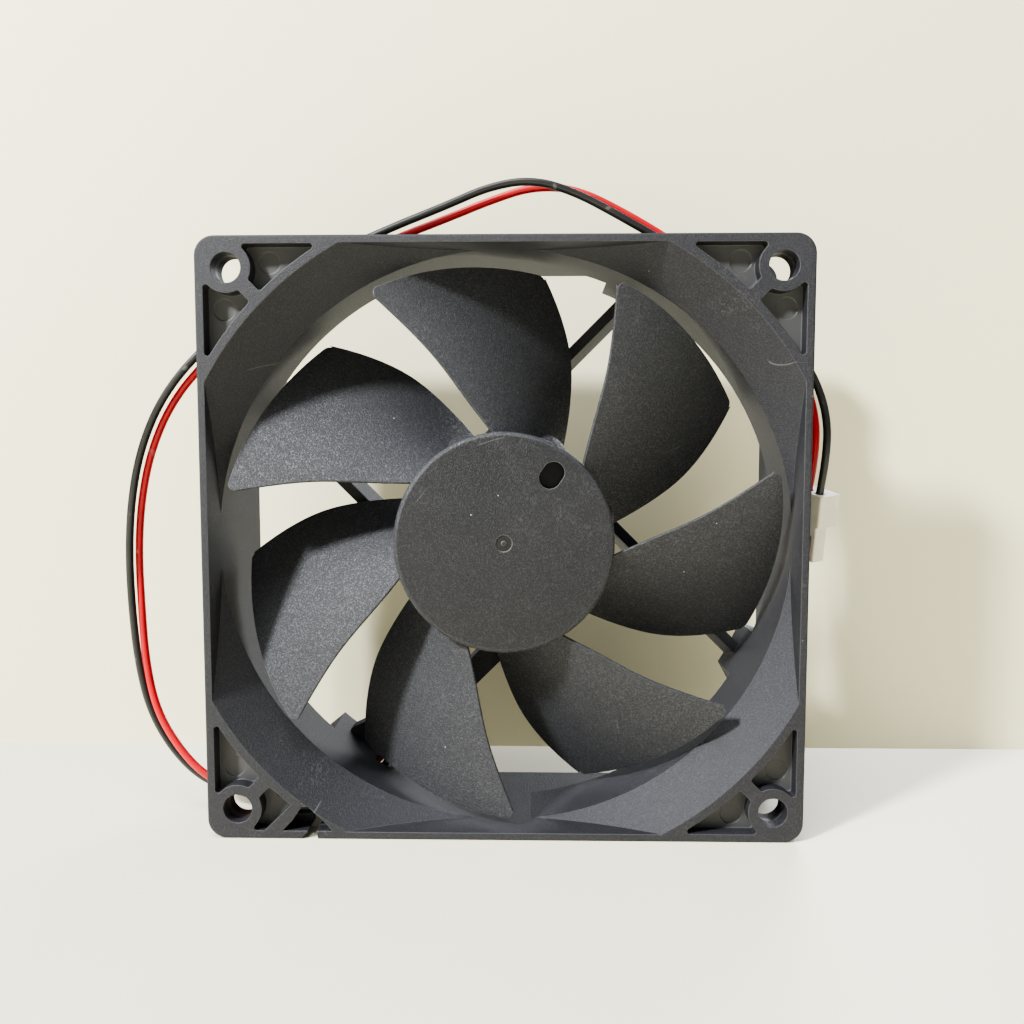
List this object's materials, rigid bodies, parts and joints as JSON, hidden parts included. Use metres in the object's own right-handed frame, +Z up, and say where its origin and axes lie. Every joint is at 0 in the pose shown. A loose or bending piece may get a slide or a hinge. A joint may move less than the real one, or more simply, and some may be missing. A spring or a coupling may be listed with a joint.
{
  "type": "case fan",
  "caption": "Square axial case fan with flanged housing, swept-blade impeller on a sleeve-bearing motor, and two loose wires to a small two-way connector.",
  "frame": {"origin": "on the rotor axis, half way between the front and rear faces: the centre of the housing's box", "axes": "+Y along the rotor axis from the air inlet to the outlet, +Z up, +X to the right seen from the inlet"},
  "size_m": [0.118, 0.0254, 0.1035],
  "materials": {
    "frame_plastic": "fine spark-eroded matte black",
    "rotor_plastic": "satin matte black",
    "yoke_steel": "drawn steel",
    "magnet": "bonded ferrite",
    "shaft_steel": "ground",
    "brass": "turned",
    "bronze": "sintered, oiled",
    "clip_plastic": "natural",
    "oil_rubber": "smooth",
    "pad_plastic": "natural",
    "core_steel": "stacked laminations",
    "insulator_plastic": "moulded",
    "copper_wire": "enamelled",
    "tinned_pin": "tinned",
    "board": "lacquered laminate",
    "chip_plastic": "moulded",
    "chip_ceramic": "ceramic",
    "solder": "solder",
    "black_insulation": "smooth",
    "red_insulation": "smooth",
    "connector_plastic": "ivory nylon",
    "label_paper": "blank silver"
  },
  "bodies": {
    "housing": {"frame": "frame_plastic", "bearing_tube": "brass", "sleeve_bearing": "bronze", "thrust_pad": "pad_plastic", "end_plug": "clip_plastic", "blank_label": "label_paper", "stator_core": "core_steel", "insulator_front": "insulator_plastic", "insulator_rear": "insulator_plastic", "coil_1": "copper_wire", "coil_2": "copper_wire", "coil_3": "copper_wire", "coil_4": "copper_wire", "terminal_pins": "tinned_pin", "circuit_board": "board", "driver_chip": "chip_plastic", "hall_sensor": "chip_plastic", "capacitor": "chip_ceramic", "diode": "chip_plastic", "resistor": "chip_plastic", "black_lead_inner": "black_insulation", "black_wire": "black_insulation", "red_lead_inner": "red_insulation", "red_wire": "red_insulation", "solder_joints": "solder", "connector_housing": "connector_plastic", "crimp_contacts": "tinned_pin"},
    "rotor": {"impeller": "rotor_plastic", "rotor_yoke": "yoke_steel", "ring_magnet": "magnet", "shaft_bush": "brass", "shaft": "shaft_steel", "retaining_clip": "clip_plastic", "oil_ring": "oil_rubber"}
  },
  "joints": [
    {"name": "impeller_spin", "type": "hinge", "parent": "housing", "child": "rotor", "pos_m": [0, 0, 0], "axis": [0, -1, 0], "continuous": true}
  ]
}
